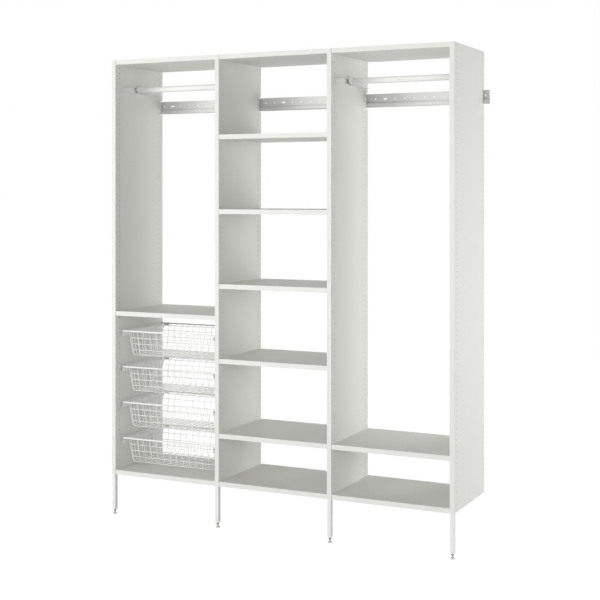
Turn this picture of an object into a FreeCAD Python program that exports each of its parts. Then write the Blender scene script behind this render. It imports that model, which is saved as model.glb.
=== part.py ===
import FreeCAD, Part
import Sketcher
import math
import os
from types import SimpleNamespace

# An open closet of three bays: four upright panels, ten shelves, four front legs, a rail on the wall
# that carries the back edge, two clothes rails and four wire baskets.
# X runs to the right, Y towards the wall, Z up. The origin is on the floor, in the middle of the width
# and halfway between the front edges of the panels and the wall.

VALUES = {
    # Boards
    "panel_count": 4,
    "bay_width": 565,
    "panel_thickness": 21,
    "panel_depth": 400,
    "shelf_thickness": 22,
    "ground_gap": 196,
    # Two rows of holes in every panel
    "hole_pitch": 25,
    "hole_steps": 80,
    "hole_inset": 32,
    "hole_diameter": 5,
    # Places of the adjustable shelves, as steps of the hole rows
    "left_middle_step": 31,
    "right_low_step": 9,
    "middle_step_one": 9,
    "middle_step_two": 23,
    "middle_step_three": 37,
    "middle_step_four": 51,
    "middle_step_five": 65,
    # Pins under the adjustable shelves
    "pin_clearance": 0.1,
    "pin_depth": 8,
    "pin_reach": 8,
    "pin_slot_clearance": 0.6,
    "pin_slot_spare": 1,
    # Cam fittings of the top and bottom shelves
    "cam_inset": 34,
    "cam_lock_diameter": 15,
    "cam_lock_depth": 12.5,
    "cam_clearance": 0.1,
    "cam_thread_depth": 10,
    "cam_bolt_diameter": 7,
    "cam_neck_diameter": 4,
    "cam_neck_length": 6,
    "cam_head_length": 4,
    "cam_bore_clearance": 1,
    "cam_cross_width": 2,
    "cam_cross_depth": 2,
    # Legs
    "leg_width": 18,
    "leg_depth": 20,
    "leg_wall": 1.5,
    "leg_corner_radius": 1.2,
    "foot_height": 24,
    "plug_height": 20,
    "plug_clearance": 0.1,
    "leg_bolt_diameter": 8,
    "leg_bolt_grip": 35,
    "leg_bolt_head_diameter": 12,
    "leg_bolt_head_height": 5,
    "bolt_hole_clearance": 0.2,
    # Levelling feet
    "disc_diameter": 20,
    "disc_edge_height": 5,
    "disc_height": 8,
    "disc_top_diameter": 11,
    "stem_diameter": 8,
    "stem_top_height": 40,
    "socket_skirt_height": 7,
    "socket_skirt_top_diameter": 14,
    "socket_skirt_low_diameter": 11,
    "stem_clearance": 0.3,
    # Wall rail
    "rail_sheet": 2,
    "rail_height": 64.5,
    "rail_top_drop": 175.7,
    "rail_overhang": 27,
    "rail_channel": 12,
    "rail_lip_height": 19,
    "rail_hole_pitch": 50,
    "rail_hole_diameter": 6.5,
    "rail_hole_drop": 24.5,
    "rail_first_hole": 12,
    "rail_hole_steps": 36,
    "rail_slot_length": 18,
    "rail_slot_step_one": 2,
    "rail_slot_step_two": 15,
    "rail_slot_step_three": 26,
    "notch_margin": 5,
    "notch_gap": 1,
    # Hooks between the panels and the wall rail
    "hook_sheet": 2.5,
    "hook_width": 17,
    "hook_rise": 43,
    "hook_drop": 15,
    "hook_clearance": 0.3,
    "hook_screw_diameter": 3.6,
    "hook_screw_spacing": 13,
    "hook_screw_middle": 22.7,
    "hook_screw_depth": 11,
    "hook_screw_head_diameter": 7,
    "screw_head_height": 2,
    # Clothes rails
    "clothes_rail_height": 28,
    "clothes_rail_width": 15,
    "clothes_rail_wall": 1.5,
    "clothes_rail_rise": 5,
    "bracket_step": 75,
    "bracket_sheet": 2,
    "bracket_depth": 12,
    "bracket_rim": 3,
    "bracket_front_gap": 26,
    "bracket_back_gap": 6,
    "bracket_top": 14,
    "bracket_bottom": 15,
    "bracket_front_top": 7,
    "bracket_front_bottom": 9,
    "bracket_taper_top": 102,
    "bracket_taper_bottom": 32,
    "holder_length": 90,
    "holder_height": 33,
    "holder_base": 4,
    "holder_depth": 18,
    "socket_clearance": 0.2,
    # Screws of the brackets and runners
    "wall_screw_diameter": 4.8,
    "wall_screw_depth": 9,
    "wall_screw_head_diameter": 7,
    "wall_screw_clearance": 0.3,
    "screw_cross_width": 1.2,
    "screw_cross_depth": 1,
    # Basket runners, measured from the holes that they are screwed to
    "basket_count": 4,
    "basket_step": 27,
    "basket_step_pitch": 7,
    "runner_sheet": 1.5,
    "runner_width": 26,
    "runner_floor_width": 22,
    "runner_rise": 19.2,
    "runner_drop": 13.3,
    "runner_lip_height": 19.3,
    "runner_front_gap": 24,
    "runner_length": 356,
    "runner_slant_rise": 8,
    "runner_slant_length": 10,
    # Basket frames
    "basket_front_gap": 42,
    "basket_side_gap": 12,
    "front_bar_diameter": 8,
    "front_bar_lift": 0.5,
    "side_rail_sheet": 3,
    "side_rail_lift": 0.3,
    "side_rail_cover": 5,
    "basket_back_gap": 28,
    "back_wire_diameter": 6,
    "corner_plate_length": 32,
    "corner_plate_sheet": 4,
    "corner_plate_height": 14,
    "corner_plate_gap": 1.3,
    "back_wire_lift": 4.5,
    # Basket meshes
    "mesh_wire": 3,
    "mesh_side_gap": 33,
    "mesh_front_gap": 18,
    "mesh_back_gap": 32,
    "mesh_depth": 123,
    "mesh_side_taper": 8,
    "mesh_end_taper": 24,
    "mesh_column_pitch": 36.3,
    "mesh_columns": 14,
    "mesh_side_pitch": 32,
    "mesh_side_columns": 7,
    "mesh_row_pitch": 30,
    "mesh_first_row": 30.8,
    "mesh_rows": 3,
    "mesh_seat": 0.3,
    # All cuts run this far past the surface that they open
    "overrun": 1,
}


# A number from the sheet, or a sum made from such numbers, with the expression that gives it
class Size:
    def __init__(self, number, text):
        self.number = number
        self.text = text

    def joined(self, other, sign, number):
        return Size(number, "(%s %s %s)" % (self.text, sign, other.text))

    def __add__(self, other):
        other = sized(other)
        return self.joined(other, "+", self.number + other.number)

    def __sub__(self, other):
        other = sized(other)
        return self.joined(other, "-", self.number - other.number)

    def __mul__(self, other):
        other = sized(other)
        return self.joined(other, "*", self.number * other.number)

    def __truediv__(self, other):
        other = sized(other)
        return self.joined(other, "/", self.number / other.number)

    def __neg__(self):
        return sized(0) - self

    def __radd__(self, other):
        return sized(other) + self

    def __rsub__(self, other):
        return sized(other) - self

    def __rmul__(self, other):
        return sized(other) * self


def sized(value):
    return value if isinstance(value, Size) else Size(float(value), repr(value))


doc = FreeCAD.newDocument("closet_system")
sheet = doc.addObject("Spreadsheet::Sheet", "sizes")
for line, (alias, number) in enumerate(VALUES.items(), start=1):
    sheet.set("A%d" % line, alias)
    sheet.set("B%d" % line, str(number))
    sheet.setAlias("B%d" % line, alias)
doc.recompute()
size = SimpleNamespace(**{alias: Size(float(number), "sizes." + alias) for alias, number in VALUES.items()})
vector = FreeCAD.Vector
nodes = []


def bind(item, name, value):
    item.setExpression(name, sized(value).text)


def place(item, x, y, z):
    bind(item, "Placement.Base.x", x)
    bind(item, "Placement.Base.y", y)
    bind(item, "Placement.Base.z", z)


def new_body(name, node=True):
    body = doc.addObject("PartDesign::Body", name)
    body.Label = name
    if node:
        nodes.append(body)
    return body


def new_sketch(body, plane, offset=0):
    sketch = body.newObject("Sketcher::SketchObject", "sketch")
    support = [item for item in body.Origin.OriginFeatures if item.Role == plane]
    sketch.AttachmentSupport = [(support[0], "")]
    sketch.MapMode = "FlatFace"
    bind(sketch, "AttachmentOffset.Base.z", offset)
    return sketch


def fix_point(sketch, part, point, x, y):
    for kind, value in (("DistanceX", x), ("DistanceY", y)):
        value = sized(value)
        index = sketch.addConstraint(Sketcher.Constraint(kind, -1, 1, part, point, value.number))
        bind(sketch, "Constraints[%d]" % index, value)


def fix_radius(sketch, part, radius):
    index = sketch.addConstraint(Sketcher.Constraint("Radius", part, radius.number))
    bind(sketch, "Constraints[%d]" % index, radius)


def draw_outline(sketch, points):
    places = [(sized(x), sized(y)) for x, y in points]
    ends = places[1:] + places[:1]
    lines = []
    for (x, y), (end_x, end_y) in zip(places, ends):
        line = Part.LineSegment(vector(x.number, y.number, 0), vector(end_x.number, end_y.number, 0))
        lines.append(sketch.addGeometry(line, False))
    for line, following in zip(lines, lines[1:] + lines[:1]):
        sketch.addConstraint(Sketcher.Constraint("Coincident", line, 2, following, 1))
    for line, (x, y) in zip(lines, places):
        fix_point(sketch, line, 1, x, y)


def draw_box(sketch, left, low, right, high):
    draw_outline(sketch, [(left, low), (right, low), (right, high), (left, high)])


def draw_circle(sketch, x, y, diameter):
    x, y, radius = sized(x), sized(y), diameter / 2
    circle = Part.Circle(vector(x.number, y.number, 0), vector(0, 0, 1), radius.number)
    part = sketch.addGeometry(circle, False)
    fix_radius(sketch, part, radius)
    fix_point(sketch, part, 3, x, y)


def draw_oval(sketch, x, y, width, length, lying=False):
    radius = width / 2
    reach = (length - width) / 2
    turn = -math.pi / 2 if lying else 0
    if lying:
        centres = [(x + reach, sized(y)), (x - reach, sized(y))]
    else:
        centres = [(sized(x), y + reach), (sized(x), y - reach)]
    arcs = []
    for half, (centre_x, centre_y) in enumerate(centres):
        start = turn + half * math.pi
        circle = Part.Circle(vector(centre_x.number, centre_y.number, 0), vector(0, 0, 1), radius.number)
        arcs.append(Part.ArcOfCircle(circle, start, start + math.pi))
    first, second = arcs
    shapes = [
        first,
        Part.LineSegment(first.EndPoint, second.StartPoint),
        second,
        Part.LineSegment(second.EndPoint, first.StartPoint),
    ]
    parts = [sketch.addGeometry(shape, False) for shape in shapes]
    for part, following in zip(parts, parts[1:] + parts[:1]):
        sketch.addConstraint(Sketcher.Constraint("Tangent", part, 2, following, 1))
    for part, centre in zip(parts[::2], centres):
        fix_point(sketch, part, 3, *centre)
        fix_radius(sketch, part, radius)


def add_pad(body, sketch, length, backward=False, both_ways=False):
    pad = body.newObject("PartDesign::Pad", "pad")
    pad.Profile = sketch
    pad.Reversed = backward
    pad.Midplane = both_ways
    bind(pad, "Length", length)
    doc.recompute()
    return pad


def add_pocket(body, sketch, length, backward=False):
    before = body.Shape.Volume
    pocket = body.newObject("PartDesign::Pocket", "pocket")
    pocket.Profile = sketch
    pocket.Reversed = backward
    bind(pocket, "Length", length)
    doc.recompute()
    if body.Shape.Volume >= before:
        raise ValueError("a pocket of %s cuts nothing" % body.Label)
    return pocket


def add_row(body, feature, sketch, axis, pitch, steps):
    row = body.newObject("PartDesign::LinearPattern", "row")
    row.Originals = [feature]
    row.Direction = (sketch, [axis])
    bind(row, "Length", pitch * steps)
    bind(row, "Occurrences", steps + 1)
    body.Tip = row
    doc.recompute()


def add_group(name, links):
    group = doc.addObject("Part::Compound", name)
    group.Label = name
    group.Links = links
    nodes.append(group)


def add_solids(name, shapes):
    group = doc.addObject("Part::Feature", name)
    group.Label = name
    group.Shape = Part.makeCompound(shapes)
    nodes.append(group)


def moved(shape, x, y, z):
    copy = shape.copy()
    copy.translate(vector(x.number, y.number, z.number))
    return copy


# Places that several pieces share
half_depth = size.panel_depth / 2
row_places = [-half_depth + size.hole_inset, half_depth - size.hole_inset]
panel_height = size.hole_pitch * size.hole_steps + size.shelf_thickness
bay_pitch = size.bay_width + size.panel_thickness
closet_width = bay_pitch * (size.panel_count - 1) + size.panel_thickness
panel_lefts = [bay_pitch * index - closet_width / 2 for index in range(int(size.panel_count.number))]
bay_lefts = [left + size.panel_thickness for left in panel_lefts[:-1]]
first_hole = size.ground_gap + size.shelf_thickness / 2
leg_y = -half_depth + size.leg_depth / 2
rail_top = size.ground_gap + panel_height - size.rail_top_drop
rail_bottom = rail_top - size.rail_height
rail_lip_top = rail_bottom + size.rail_lip_height
notch_depth = size.rail_sheet * 2 + size.rail_channel + size.notch_gap
notch_front = half_depth - notch_depth
hook_foot = rail_lip_top
hook_screw_places = [
    hook_foot + size.hook_screw_middle - size.hook_screw_spacing / 2,
    hook_foot + size.hook_screw_middle + size.hook_screw_spacing / 2,
]


def hole_height(step):
    return first_hole + size.hole_pitch * step


# An upright panel: its outline has the notch for the wall rail in the back edge. The two rows of holes
# go right through. The underside takes the leg's bolt and the notch takes the hook's screws.
def make_panel(name, left):
    body = new_body(name)
    notch_low = rail_bottom - size.notch_margin - size.ground_gap
    notch_high = rail_top + size.notch_margin - size.ground_gap
    outline = new_sketch(body, "YZ_Plane")
    draw_outline(outline, [
        (-half_depth, 0),
        (half_depth, 0),
        (half_depth, notch_low),
        (notch_front, notch_low),
        (notch_front, notch_high),
        (half_depth, notch_high),
        (half_depth, panel_height),
        (-half_depth, panel_height),
    ])
    add_pad(body, outline, size.panel_thickness)
    middle = size.panel_thickness / 2

    bolt_hole = new_sketch(body, "XY_Plane")
    draw_circle(bolt_hole, middle, leg_y, size.leg_bolt_diameter + size.bolt_hole_clearance)
    add_pocket(body, bolt_hole, size.leg_bolt_grip + size.overrun, backward=True)

    screw_holes = new_sketch(body, "XZ_Plane", -notch_front)
    for height in hook_screw_places:
        draw_circle(screw_holes, middle, height - size.ground_gap, size.hook_screw_diameter)
    add_pocket(body, screw_holes, size.hook_screw_depth, backward=True)

    pair = new_sketch(body, "YZ_Plane")
    for place_y in row_places:
        draw_circle(pair, place_y, size.shelf_thickness / 2, size.hole_diameter)
    pocket = add_pocket(body, pair, size.panel_thickness, backward=True)
    add_row(body, pocket, pair, "V_Axis", size.hole_pitch, size.hole_steps)
    place(body, left, 0, size.ground_gap)


panel_names = ["left_side_panel", "left_divider", "right_divider", "right_side_panel"]
for panel_name, panel_left in zip(panel_names, panel_lefts):
    make_panel(panel_name, panel_left)


# A shelf is a plain board as wide as the bay
def make_board(name, left, step):
    body = new_body(name)
    outline = new_sketch(body, "XY_Plane")
    draw_box(outline, 0, -half_depth, size.bay_width, half_depth)
    add_pad(body, outline, size.shelf_thickness)
    place(body, left, 0, hole_height(step) - size.shelf_thickness / 2)
    return body


pin_slot_length = size.pin_reach + size.pin_slot_spare
pin_diameter = size.hole_diameter - size.pin_clearance
pins = []


# An adjustable shelf has four slots in its underside, open at its ends, that drop over the pins
def make_adjustable_shelf(name, bay, step):
    body = make_board(name, bay_lefts[bay], step)
    half_slot = (size.hole_diameter + size.pin_slot_clearance) / 2
    slots = new_sketch(body, "XY_Plane")
    for place_y in row_places:
        draw_box(slots, 0, place_y - half_slot, pin_slot_length, place_y + half_slot)
        draw_box(slots, size.bay_width - pin_slot_length, place_y - half_slot,
                 size.bay_width, place_y + half_slot)
    add_pocket(body, slots, (size.shelf_thickness + pin_diameter) / 2, backward=True)
    for place_y in row_places:
        for place_x in (bay_lefts[bay] - size.pin_depth, bay_lefts[bay] + size.bay_width - size.pin_reach):
            length = size.pin_depth + size.pin_reach
            pin = Part.makeCylinder(pin_diameter.number / 2, length.number, vector(), vector(1, 0, 0))
            pins.append(moved(pin, place_x, place_y, hole_height(step)))


# A cam bolt screws into the panel, and its head reaches the middle of the cam lock in the shelf
def cam_bolt_shape():
    thread = (size.hole_diameter - size.pin_clearance) / 2
    collar_length = size.cam_inset - size.cam_neck_length - size.cam_head_length
    stretches = [
        (-size.cam_thread_depth, size.cam_thread_depth, thread),
        (sized(0), collar_length, size.cam_bolt_diameter / 2),
        (collar_length, size.cam_neck_length, size.cam_neck_diameter / 2),
        (collar_length + size.cam_neck_length, size.cam_head_length, size.cam_bolt_diameter / 2),
    ]
    cylinders = [
        Part.makeCylinder(radius.number, length.number, vector(start.number, 0, 0), vector(1, 0, 0))
        for start, length, radius in stretches
    ]
    return cylinders[0].multiFuse(cylinders[1:]).removeSplitter()


# A cam lock is a disc that is bored from the side for the bolt's head and has a cross in its face
def cam_lock_shape():
    radius = size.cam_lock_diameter / 2 - size.cam_clearance
    height = size.cam_lock_depth - size.cam_clearance
    disc = Part.makeCylinder(radius.number, height.number, vector(0, 0, -height.number))
    bore_radius = size.cam_bolt_diameter / 2 + size.cam_clearance
    bore_length = radius + size.overrun * 2
    bore_start = vector(-radius.number - size.overrun.number, 0, -size.shelf_thickness.number / 2)
    bore = Part.makeCylinder(bore_radius.number, bore_length.number, bore_start, vector(1, 0, 0))
    lock = disc.cut(bore)
    width, depth = size.cam_cross_width.number, size.cam_cross_depth.number
    for length_x, length_y in ((radius.number, width), (width, radius.number)):
        corner = vector(-length_x / 2, -length_y / 2, -depth)
        lock = lock.cut(Part.makeBox(length_x, length_y, depth + size.overrun.number, corner))
    return lock


cam_bolts = []
cam_locks = []


# A top or bottom shelf is held by four cam fittings. The locks sit in the face that can't be seen: the
# upper face of a top shelf and the underside of a bottom shelf.
def make_fixed_shelf(name, bay, step, top):
    left = bay_lefts[bay]
    body = make_board(name, left, step)
    for offset, backward in ((sized(0), True), (size.bay_width, False)):
        bores = new_sketch(body, "YZ_Plane", offset)
        for place_y in row_places:
            draw_circle(bores, place_y, size.shelf_thickness / 2,
                        size.cam_bolt_diameter + size.cam_bore_clearance)
        add_pocket(body, bores, size.cam_inset, backward=backward)
    seats = new_sketch(body, "XY_Plane", size.shelf_thickness if top else sized(0))
    for place_y in row_places:
        for place_x in (size.cam_inset, size.bay_width - size.cam_inset):
            draw_circle(seats, place_x, place_y, size.cam_lock_diameter)
    add_pocket(body, seats, size.cam_lock_depth, backward=not top)

    bolt = cam_bolt_shape()
    lock = cam_lock_shape()
    face = hole_height(step) + size.shelf_thickness / 2 * (1 if top else -1)
    for place_y in row_places:
        for end, place_x, inset in ((0, left, size.cam_inset), (1, left + size.bay_width, -size.cam_inset)):
            bolt_copy = bolt.rotated(vector(), vector(0, 0, 1), end * 180)
            cam_bolts.append(moved(bolt_copy, place_x, place_y, hole_height(step)))
            lock_copy = lock.rotated(vector(), vector(0, 0, 1), end * 180)
            if not top:
                lock_copy.rotate(vector(), vector(1, 0, 0), 180)
            cam_locks.append(moved(lock_copy, place_x + inset, place_y, face))


bottom_step = sized(0)
make_fixed_shelf("left_bay_top_shelf", 0, size.hole_steps, True)
make_adjustable_shelf("left_bay_middle_shelf", 0, size.left_middle_step)
make_fixed_shelf("left_bay_bottom_shelf", 0, bottom_step, False)
make_fixed_shelf("middle_bay_top_shelf", 1, size.hole_steps, True)
middle_steps = [
    size.middle_step_one,
    size.middle_step_two,
    size.middle_step_three,
    size.middle_step_four,
    size.middle_step_five,
]
for number, middle_step in enumerate(middle_steps, start=1):
    make_adjustable_shelf("middle_bay_shelf_%d" % number, 1, middle_step)
make_fixed_shelf("middle_bay_bottom_shelf", 1, bottom_step, False)
make_fixed_shelf("right_bay_top_shelf", 2, size.hole_steps, True)
make_adjustable_shelf("right_bay_low_shelf", 2, size.right_low_step)
make_fixed_shelf("right_bay_bottom_shelf", 2, bottom_step, False)
add_solids("shelf_pins", pins)
add_solids("cam_bolts", cam_bolts)
add_solids("cam_locks", cam_locks)

# The legs are square tubes under the front corners of the panels
leg_names = ["left_side_leg", "left_divider_leg", "right_divider_leg", "right_side_leg"]
leg_places = [left + size.panel_thickness / 2 for left in panel_lefts]
leg_length = size.ground_gap - size.foot_height


def make_leg(name, place_x):
    body = new_body(name)
    outline = new_sketch(body, "XY_Plane")
    half_width, half_leg_depth = size.leg_width / 2, size.leg_depth / 2
    draw_box(outline, -half_width, -half_leg_depth, half_width, half_leg_depth)
    inner_width, inner_depth = half_width - size.leg_wall, half_leg_depth - size.leg_wall
    draw_box(outline, -inner_width, -inner_depth, inner_width, inner_depth)
    tube = add_pad(body, outline, leg_length)
    corners = []
    for index, edge in enumerate(tube.Shape.Edges, start=1):
        middle = edge.CenterOfMass
        if abs(middle.x) > inner_width.number and abs(middle.y) > inner_depth.number:
            if edge.BoundBox.ZLength > size.leg_depth.number:
                corners.append("Edge%d" % index)
    fillet = body.newObject("PartDesign::Fillet", "round_corners")
    fillet.Base = (tube, corners)
    bind(fillet, "Radius", size.leg_corner_radius)
    doc.recompute()
    place(body, place_x, leg_y, size.foot_height)


# A levelling foot is a disc with a domed top on a threaded stem
def make_foot(name, place_x):
    body = new_body(name)
    outline = new_sketch(body, "XZ_Plane")
    draw_outline(outline, [
        (0, 0),
        (size.disc_diameter / 2, 0),
        (size.disc_diameter / 2, size.disc_edge_height),
        (size.disc_top_diameter / 2, size.disc_height),
        (size.stem_diameter / 2, size.disc_height),
        (size.stem_diameter / 2, size.stem_top_height),
        (0, size.stem_top_height),
    ])
    turned = body.newObject("PartDesign::Revolution", "turned")
    turned.Profile = outline
    turned.ReferenceAxis = (outline, ["V_Axis"])
    doc.recompute()
    place(body, place_x, leg_y, 0)


for leg_name, leg_place in zip(leg_names, leg_places):
    make_leg(leg_name, leg_place)
for number, leg_place in enumerate(leg_places, start=1):
    make_foot("levelling_foot_%d" % number, leg_place)


# A block that fills the leg's tube, with a bore up its middle
def block_shape(height, bore):
    width = size.leg_width - (size.leg_wall + size.plug_clearance) * 2
    depth = size.leg_depth - (size.leg_wall + size.plug_clearance) * 2
    block = Part.makeBox(width.number, depth.number, height.number,
                         vector(-width.number / 2, -depth.number / 2, 0))
    return block.cut(Part.makeCylinder(bore.number / 2, height.number))


# The plug in the top of a leg carries the bolt that goes up into the panel
plug = block_shape(size.plug_height, size.leg_bolt_diameter + size.bolt_hole_clearance)
plug_low = size.ground_gap - size.plug_height
leg_bolt_head = Part.makeCylinder(size.leg_bolt_head_diameter.number / 2, size.leg_bolt_head_height.number,
                                  vector(0, 0, -size.leg_bolt_head_height.number))
leg_bolt_shank = Part.makeCylinder(size.leg_bolt_diameter.number / 2,
                                   (size.plug_height + size.leg_bolt_grip).number)
leg_bolt = leg_bolt_head.fuse(leg_bolt_shank)
add_solids("leg_top_plugs", [moved(plug, leg_place, leg_y, plug_low) for leg_place in leg_places])
add_solids("leg_bolts", [moved(leg_bolt, leg_place, leg_y, plug_low) for leg_place in leg_places])

# The socket in the lower end of a leg guides the foot's stem and shows as a dark cone below the tube
socket_bore = size.stem_diameter + size.stem_clearance * 2
skirt = Part.makeCone(size.socket_skirt_low_diameter.number / 2, size.socket_skirt_top_diameter.number / 2,
                      size.socket_skirt_height.number, vector(0, 0, -size.socket_skirt_height.number))
skirt_bore = Part.makeCylinder(socket_bore.number / 2, size.socket_skirt_height.number,
                               vector(0, 0, -size.socket_skirt_height.number))
socket = block_shape(size.plug_height, socket_bore).fuse(skirt.cut(skirt_bore))
add_solids("leg_sockets", [moved(socket, leg_place, leg_y, size.foot_height) for leg_place in leg_places])


# The wall rail is folded from sheet: a tall plate on the wall, a narrow floor and a lip in front. Its
# screw holes stand in one row, and three of them are slots.
def make_wall_rail():
    body = new_body("wall_rail")
    sheet_size = size.rail_sheet
    channel_front = -sheet_size - size.rail_channel
    outline = new_sketch(body, "YZ_Plane")
    draw_outline(outline, [
        (0, 0),
        (0, size.rail_height),
        (-sheet_size, size.rail_height),
        (-sheet_size, sheet_size),
        (channel_front, sheet_size),
        (channel_front, size.rail_lip_height),
        (channel_front - sheet_size, size.rail_lip_height),
        (channel_front - sheet_size, 0),
    ])
    add_pad(body, outline, closet_width + size.rail_overhang * 2)
    hole_line = size.rail_height - size.rail_hole_drop
    cut = sheet_size + size.overrun
    slots = new_sketch(body, "XZ_Plane")
    for step in (size.rail_slot_step_one, size.rail_slot_step_two, size.rail_slot_step_three):
        draw_oval(slots, size.rail_first_hole + size.rail_hole_pitch * step, hole_line,
                  size.rail_hole_diameter, size.rail_slot_length, lying=True)
    add_pocket(body, slots, cut, backward=True)
    hole = new_sketch(body, "XZ_Plane")
    draw_circle(hole, size.rail_first_hole, hole_line, size.rail_hole_diameter)
    pocket = add_pocket(body, hole, cut, backward=True)
    add_row(body, pocket, hole, "H_Axis", size.rail_hole_pitch, size.rail_hole_steps)
    place(body, panel_lefts[0] - size.rail_overhang, half_depth, rail_bottom)


make_wall_rail()


# A hook is a strip of steel on the front face of the notch. It steps back over the rail's lip and
# hangs down behind it.
def make_hook(name, place_x):
    body = new_body(name, node=False)
    lip_back = half_depth - size.rail_sheet - size.rail_channel
    tongue_front = lip_back + size.hook_clearance
    outline = new_sketch(body, "YZ_Plane")
    draw_outline(outline, [
        (notch_front, 0),
        (tongue_front, 0),
        (tongue_front, -size.hook_drop),
        (tongue_front + size.hook_sheet, -size.hook_drop),
        (tongue_front + size.hook_sheet, size.hook_sheet),
        (notch_front + size.hook_sheet, size.hook_sheet),
        (notch_front + size.hook_sheet, size.hook_rise),
        (notch_front, size.hook_rise),
    ])
    add_pad(body, outline, size.hook_width, both_ways=True)
    holes = new_sketch(body, "XZ_Plane", -notch_front)
    for height in hook_screw_places:
        draw_circle(holes, 0, height - hook_foot, size.hook_screw_diameter + size.wall_screw_clearance)
    add_pocket(body, holes, size.hook_sheet + size.overrun)
    place(body, place_x, 0, hook_foot)
    return body


add_group("panel_hooks", [
    make_hook("panel_hook_%d" % number, leg_place) for number, leg_place in enumerate(leg_places, start=1)
])


# A screw with a cross in its round head. It lies along X with its head to the right of the origin.
def screw_shape(diameter, length, head_diameter):
    head_height = size.screw_head_height
    head = Part.makeCylinder(head_diameter.number / 2, head_height.number, vector(), vector(1, 0, 0))
    shank = Part.makeCylinder(diameter.number / 2, length.number, vector(-length.number, 0, 0),
                              vector(1, 0, 0))
    screw = head.fuse(shank)
    depth = size.screw_cross_depth.number
    start = head_height.number - depth
    reach, width = head_diameter.number / 2, size.screw_cross_width.number
    for length_y, length_z in ((reach, width), (width, reach)):
        corner = vector(start, -length_y / 2, -length_z / 2)
        screw = screw.cut(Part.makeBox(depth + size.overrun.number, length_y, length_z, corner))
    return screw


hook_screw = screw_shape(size.hook_screw_diameter - size.pin_clearance, size.hook_sheet + size.hook_screw_depth,
                         size.hook_screw_head_diameter)
hook_screw.rotate(vector(), vector(0, 0, 1), 90)
add_solids("hook_screws", [
    moved(hook_screw, leg_place, notch_front + size.hook_sheet, height)
    for leg_place in leg_places for height in hook_screw_places
])


# A screw goes into a panel's hole through a sheet on the left wall of a bay, side 1, or the right wall,
# side -1
def wall_screw(bay, side, place_y, step, sheet_size):
    screw = screw_shape(size.wall_screw_diameter, sheet_size + size.wall_screw_depth,
                        size.wall_screw_head_diameter)
    if side < 0:
        screw.rotate(vector(), vector(0, 0, 1), 180)
    return moved(screw, wall_place(bay, side) + side * sheet_size, place_y, hole_height(step))


def wall_place(bay, side):
    return bay_lefts[bay] if side > 0 else bay_lefts[bay] + size.bay_width


# A clothes rail bracket is a long channel on the wall of the bay, with a rim along its upper and lower
# edges. It tapers towards the front.
bracket_front = -half_depth + size.bracket_front_gap
bracket_back = half_depth - size.bracket_back_gap


def make_bracket(name, bay, side):
    body = new_body(name)
    low_bend = bracket_front + size.bracket_taper_bottom
    high_bend = bracket_front + size.bracket_taper_top
    rim = size.bracket_rim
    plate = new_sketch(body, "YZ_Plane")
    low_edge = [
        (bracket_front, -size.bracket_front_bottom),
        (low_bend, -size.bracket_bottom),
        (bracket_back, -size.bracket_bottom),
    ]
    high_edge = [
        (bracket_back, size.bracket_top),
        (high_bend, size.bracket_top),
        (bracket_front, size.bracket_front_top),
    ]
    draw_outline(plate, low_edge + high_edge)
    for place_y in row_places:
        draw_circle(plate, place_y, 0, size.wall_screw_diameter + size.wall_screw_clearance)
    add_pad(body, plate, size.bracket_sheet, backward=side < 0)
    rims = new_sketch(body, "YZ_Plane")
    draw_outline(rims, low_edge + [(y, z + rim) for y, z in reversed(low_edge)])
    draw_outline(rims, high_edge + [(y, z - rim) for y, z in reversed(high_edge)])
    add_pad(body, rims, size.bracket_depth, backward=side < 0)
    place(body, wall_place(bay, side), 0, hole_height(size.bracket_step))


# A holder is an oval block on the face of the bracket. It takes the end of the clothes rail in a socket.
def make_holder(name, bay, side):
    body = new_body(name, node=False)
    rail_middle = size.clothes_rail_rise
    for depth, has_socket in ((size.holder_base, False), (size.holder_depth, True)):
        block = new_sketch(body, "YZ_Plane")
        draw_oval(block, 0, rail_middle, size.holder_height, size.holder_length, lying=True)
        if has_socket:
            draw_oval(block, 0, rail_middle, size.clothes_rail_width + size.socket_clearance * 2,
                      size.clothes_rail_height + size.socket_clearance * 2)
        add_pad(body, block, depth, backward=side < 0)
    place(body, wall_place(bay, side) + side * size.bracket_depth, 0, hole_height(size.bracket_step))
    return body


# A clothes rail is an oval tube, as long as the room between the bases of its two holders
def make_clothes_rail(name, bay):
    body = new_body(name)
    wall = size.clothes_rail_wall
    outline = new_sketch(body, "YZ_Plane")
    draw_oval(outline, 0, 0, size.clothes_rail_width, size.clothes_rail_height)
    draw_oval(outline, 0, 0, size.clothes_rail_width - wall * 2, size.clothes_rail_height - wall * 2)
    end = size.bracket_depth + size.holder_base
    add_pad(body, outline, size.bay_width - end * 2)
    height = hole_height(size.bracket_step) + size.clothes_rail_rise
    place(body, bay_lefts[bay] + end, 0, height)


holders = []
bracket_screws = []
for bay, bay_name in ((0, "left"), (2, "right")):
    make_clothes_rail("%s_clothes_rail" % bay_name, bay)
    for side, side_name in ((1, "left"), (-1, "right")):
        make_bracket("%s_rail_%s_bracket" % (bay_name, side_name), bay, side)
        holders.append(make_holder("%s_rail_%s_holder" % (bay_name, side_name), bay, side))
        for place_y in row_places:
            bracket_screws.append(wall_screw(bay, side, place_y, size.bracket_step, size.bracket_sheet))
add_group("clothes_rail_holders", holders)
add_solids("bracket_screws", bracket_screws)

# A runner is a trough of thin sheet: a tall wall leg with the screw holes, a floor and a low lip that
# leans inwards. Its lower front corner is cut at a slant.
runner_front = -half_depth + size.runner_front_gap


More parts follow.
